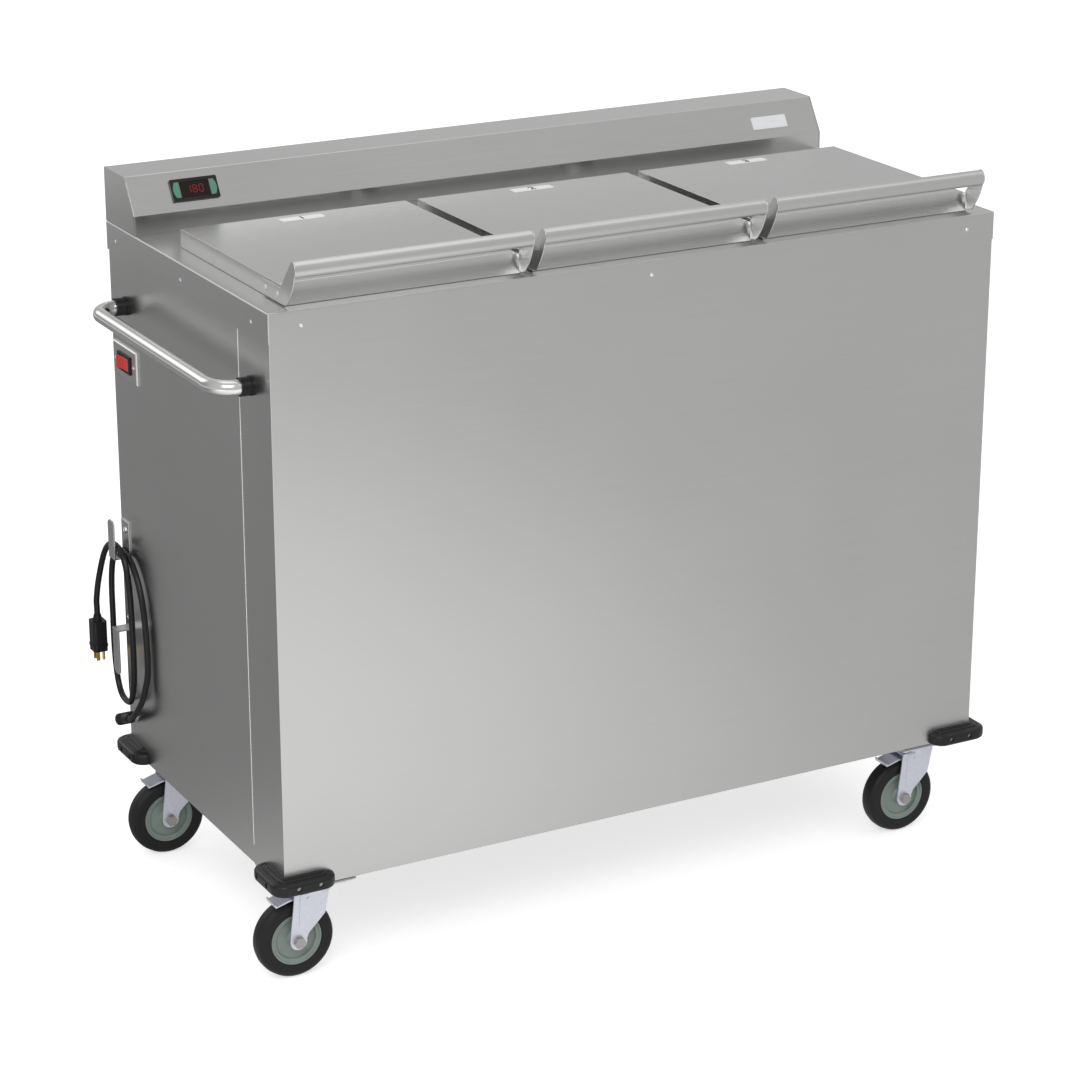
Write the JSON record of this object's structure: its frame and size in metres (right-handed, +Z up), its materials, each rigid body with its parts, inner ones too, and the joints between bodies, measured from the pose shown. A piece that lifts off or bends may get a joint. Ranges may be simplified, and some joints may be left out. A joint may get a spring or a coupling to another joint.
{
  "type": "heated plate dispenser",
  "caption": "Stainless heated plate dispenser cart with hinged lids over self-levelling wells, sloped console, push handle, wound cord and braked swivel casters.",
  "frame": {"origin": "on the floor, under the centre of the cart's box, measured without the cord and plug", "axes": "+X along the width, away from the push handle; +Y from the lid handles to the console; +Z up"},
  "size_m": [1.341, 0.708, 1.1515],
  "materials": {
    "stainless": "fine brushed",
    "frame_steel": "mill",
    "polished_steel": "polished",
    "bracket_steel": "brushed",
    "zinc": "bright zinc plated",
    "spring_steel": "oiled",
    "heater_sheath": "dark sheath",
    "black_plastic": "fine satin",
    "display": "dark window",
    "key_green": "satin",
    "rocker_red": "gloss",
    "cord_jacket": "satin",
    "blade_brass": "bright",
    "bumper_rubber": "satin",
    "tyre_rubber": "satin",
    "hub_plastic": "satin"
  },
  "bodies": {
    "cabinet": {"chassis_frame": "frame_steel", "base_pan": "stainless", "front_panel": "stainless", "rear_panel": "stainless", "left_side_panel": "stainless", "right_side_panel": "stainless", "top_deck": "stainless", "console_housing": "stainless", "console_end_caps": "stainless", "controller_body": "black_plastic", "controller_lens": "display", "switch_plate": "polished_steel", "switch_body": "black_plastic", "push_handle": "polished_steel", "handle_bushings": "black_plastic", "cord_bracket": "bracket_steel", "cord_locknut": "zinc", "cord_grip": "black_plastic", "power_cord": "cord_jacket", "plug_body": "black_plastic", "plug_blades": "blade_brass", "corner_bumpers": "bumper_rubber", "bumper_screws": "polished_steel", "bay_liners": "stainless", "guide_rods": "polished_steel", "lift_springs_1": "spring_steel", "lift_springs_2": "spring_steel", "lift_springs_3": "spring_steel", "heater_elements": "heater_sheath", "hinge_leaves": "stainless", "hinge_pins": "polished_steel", "caster_plates": "zinc"},
    "lid_1_body": {"lid_1": "stainless", "lid_handle_1": "stainless"},
    "lid_2_body": {"lid_2": "stainless", "lid_handle_2": "stainless"},
    "lid_3_body": {"lid_3": "stainless", "lid_handle_3": "stainless"},
    "platform_1_body": {"platform_1": "stainless"},
    "platform_2_body": {"platform_2": "stainless"},
    "platform_3_body": {"platform_3": "stainless"},
    "swivel_front_left": {"fork_front_left": "zinc"},
    "wheel_front_left": {"tyre_front_left": "tyre_rubber", "hub_front_left": "hub_plastic"},
    "pedal_front_left": {"brake_front_left": "zinc"},
    "swivel_front_right": {"fork_front_right": "zinc"},
    "wheel_front_right": {"tyre_front_right": "tyre_rubber", "hub_front_right": "hub_plastic"},
    "pedal_front_right": {"brake_front_right": "zinc"},
    "swivel_rear_left": {"fork_rear_left": "zinc"},
    "wheel_rear_left": {"tyre_rear_left": "tyre_rubber", "hub_rear_left": "hub_plastic"},
    "pedal_rear_left": {"brake_rear_left": "zinc"},
    "swivel_rear_right": {"fork_rear_right": "zinc"},
    "wheel_rear_right": {"tyre_rear_right": "tyre_rubber", "hub_rear_right": "hub_plastic"},
    "pedal_rear_right": {"brake_rear_right": "zinc"},
    "switch_rocker": {"rocker": "rocker_red"},
    "key_left": {"controller_key_left": "key_green"},
    "key_right": {"controller_key_right": "key_green"}
  },
  "joints": [
    {"name": "lid_1_hinge", "type": "hinge", "parent": "cabinet", "child": "lid_1_body", "pos_m": [-0.379, 0.099, 1.0698], "axis": [-1, 0, 0], "range_deg": [0, 102]},
    {"name": "lid_2_hinge", "type": "hinge", "parent": "cabinet", "child": "lid_2_body", "pos_m": [0.021, 0.099, 1.0698], "axis": [-1, 0, 0], "range_deg": [0, 102]},
    {"name": "lid_3_hinge", "type": "hinge", "parent": "cabinet", "child": "lid_3_body", "pos_m": [0.421, 0.099, 1.0698], "axis": [-1, 0, 0], "range_deg": [0, 102]},
    {"name": "platform_1_lift", "type": "slide", "parent": "cabinet", "child": "platform_1_body", "axis": [0, 0, 1], "range_m": [-0.55, 0], "stiffness_N_per_m": 900, "springref_m": 0.17, "deforming": ["lift_springs_1"]},
    {"name": "platform_2_lift", "type": "slide", "parent": "cabinet", "child": "platform_2_body", "axis": [0, 0, 1], "range_m": [-0.55, 0], "stiffness_N_per_m": 900, "springref_m": 0.17, "deforming": ["lift_springs_2"]},
    {"name": "platform_3_lift", "type": "slide", "parent": "cabinet", "child": "platform_3_body", "axis": [0, 0, 1], "range_m": [-0.55, 0], "stiffness_N_per_m": 900, "springref_m": 0.17, "deforming": ["lift_springs_3"]},
    {"name": "caster_front_left_swivel", "type": "hinge", "parent": "cabinet", "child": "swivel_front_left", "pos_m": [-0.5358, -0.2536, 0.147], "axis": [0, 0, 1], "continuous": true},
    {"name": "caster_front_left_roll", "type": "hinge", "parent": "swivel_front_left", "child": "wheel_front_left", "pos_m": [-0.5698, -0.2536, 0.0635], "axis": [0, 1, 0], "continuous": true},
    {"name": "caster_front_left_brake", "type": "hinge", "parent": "swivel_front_left", "child": "pedal_front_left", "pos_m": [-0.5528, -0.2536, 0.1328], "axis": [0, -1, 0], "range_deg": [0, 5]},
    {"name": "caster_front_right_swivel", "type": "hinge", "parent": "cabinet", "child": "swivel_front_right", "pos_m": [0.5778, -0.2536, 0.147], "axis": [0, 0, 1], "continuous": true},
    {"name": "caster_front_right_roll", "type": "hinge", "parent": "swivel_front_right", "child": "wheel_front_right", "pos_m": [0.5438, -0.2536, 0.0635], "axis": [0, 1, 0], "continuous": true},
    {"name": "caster_front_right_brake", "type": "hinge", "parent": "swivel_front_right", "child": "pedal_front_right", "pos_m": [0.5608, -0.2536, 0.1328], "axis": [0, -1, 0], "range_deg": [0, 5]},
    {"name": "caster_rear_left_swivel", "type": "hinge", "parent": "cabinet", "child": "swivel_rear_left", "pos_m": [-0.5358, 0.2536, 0.147], "axis": [0, 0, 1], "continuous": true},
    {"name": "caster_rear_left_roll", "type": "hinge", "parent": "swivel_rear_left", "child": "wheel_rear_left", "pos_m": [-0.5698, 0.2536, 0.0635], "axis": [0, 1, 0], "continuous": true},
    {"name": "caster_rear_left_brake", "type": "hinge", "parent": "swivel_rear_left", "child": "pedal_rear_left", "pos_m": [-0.5528, 0.2536, 0.1328], "axis": [0, -1, 0], "range_deg": [0, 5]},
    {"name": "caster_rear_right_swivel", "type": "hinge", "parent": "cabinet", "child": "swivel_rear_right", "pos_m": [0.5778, 0.2536, 0.147], "axis": [0, 0, 1], "continuous": true},
    {"name": "caster_rear_right_roll", "type": "hinge", "parent": "swivel_rear_right", "child": "wheel_rear_right", "pos_m": [0.5438, 0.2536, 0.0635], "axis": [0, 1, 0], "continuous": true},
    {"name": "caster_rear_right_brake", "type": "hinge", "parent": "swivel_rear_right", "child": "pedal_rear_right", "pos_m": [0.5608, 0.2536, 0.1328], "axis": [0, -1, 0], "range_deg": [0, 5]},
    {"name": "switch_rock", "type": "hinge", "parent": "cabinet", "child": "switch_rocker", "pos_m": [-0.601, 0.252, 0.849], "axis": [0, 0, -1], "range_deg": [0, 15]},
    {"name": "key_left_press", "type": "slide", "parent": "cabinet", "child": "key_left", "axis": [0, 0.8471, -0.5314], "range_m": [0, 0.0008], "stiffness_N_per_m": 300, "springref_m": -0.001},
    {"name": "key_right_press", "type": "slide", "parent": "cabinet", "child": "key_right", "axis": [0, 0.8471, -0.5314], "range_m": [0, 0.0008], "stiffness_N_per_m": 300, "springref_m": -0.001}
  ]
}
